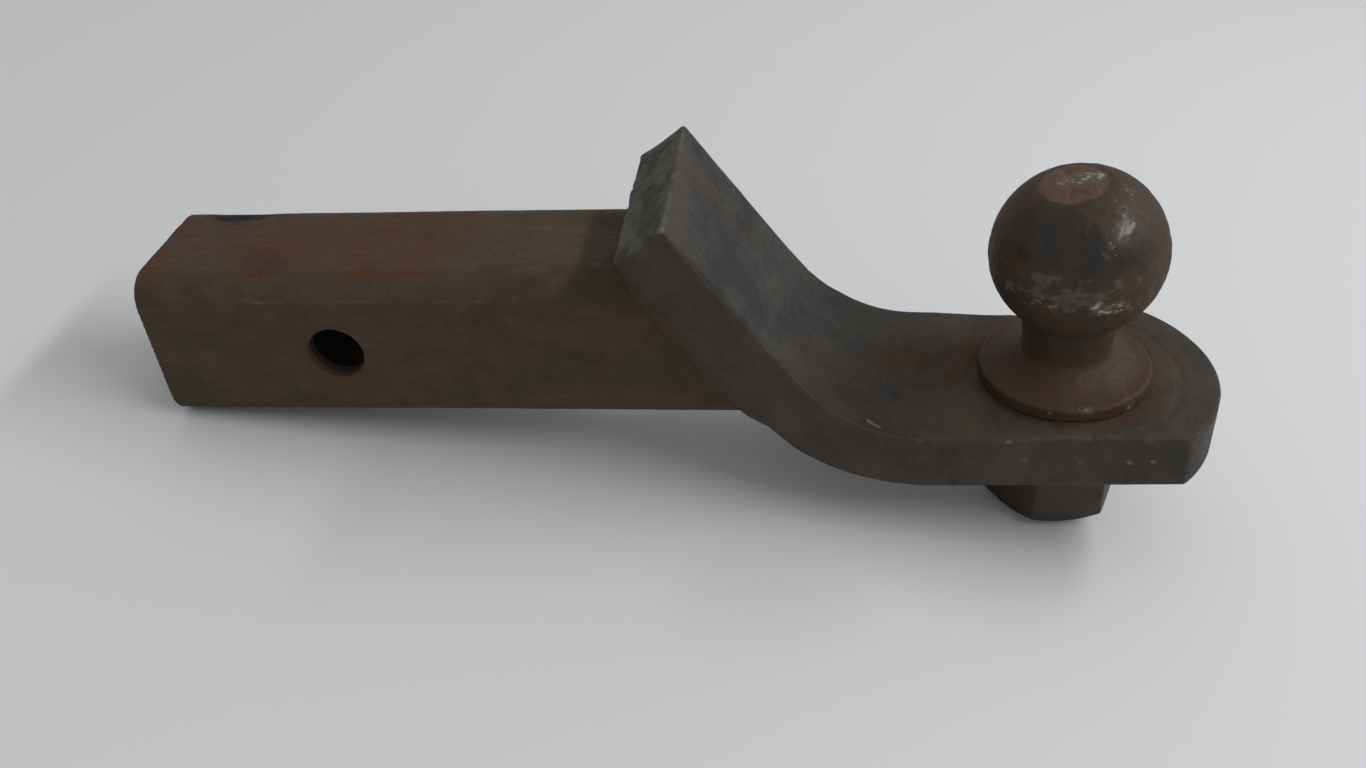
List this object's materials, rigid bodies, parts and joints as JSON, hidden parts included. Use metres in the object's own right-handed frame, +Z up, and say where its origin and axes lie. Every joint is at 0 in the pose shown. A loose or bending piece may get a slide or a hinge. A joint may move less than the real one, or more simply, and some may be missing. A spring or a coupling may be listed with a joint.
{
  "type": "receiver hitch ball mount",
  "caption": "Square receiver shank welded to a bent drop tongue that carries a bolted tow ball; a cross hole in the shank takes the hitch pin.",
  "frame": {"origin": "centre of the hitch pin hole, on the shank's axis", "axes": "+X along the shank towards the ball, +Z up, +Y along the pin hole, to the left of the direction of +X"},
  "size_m": [0.3286, 0.0674, 0.1178],
  "materials": {
    "rusted_tube": "rusted",
    "scaled_bar": "mill scale with rust",
    "rusted_weld": "rusted",
    "worn_ball": "dark, worn and pitted",
    "dark_hardware": "dull oxide"
  },
  "bodies": {
    "root": {"shank_tube": "rusted_tube", "tongue_bar": "scaled_bar", "fillet_weld": "rusted_weld", "hitch_ball": "worn_ball", "lock_washer": "dark_hardware", "hex_nut": "dark_hardware"}
  },
  "joints": []
}
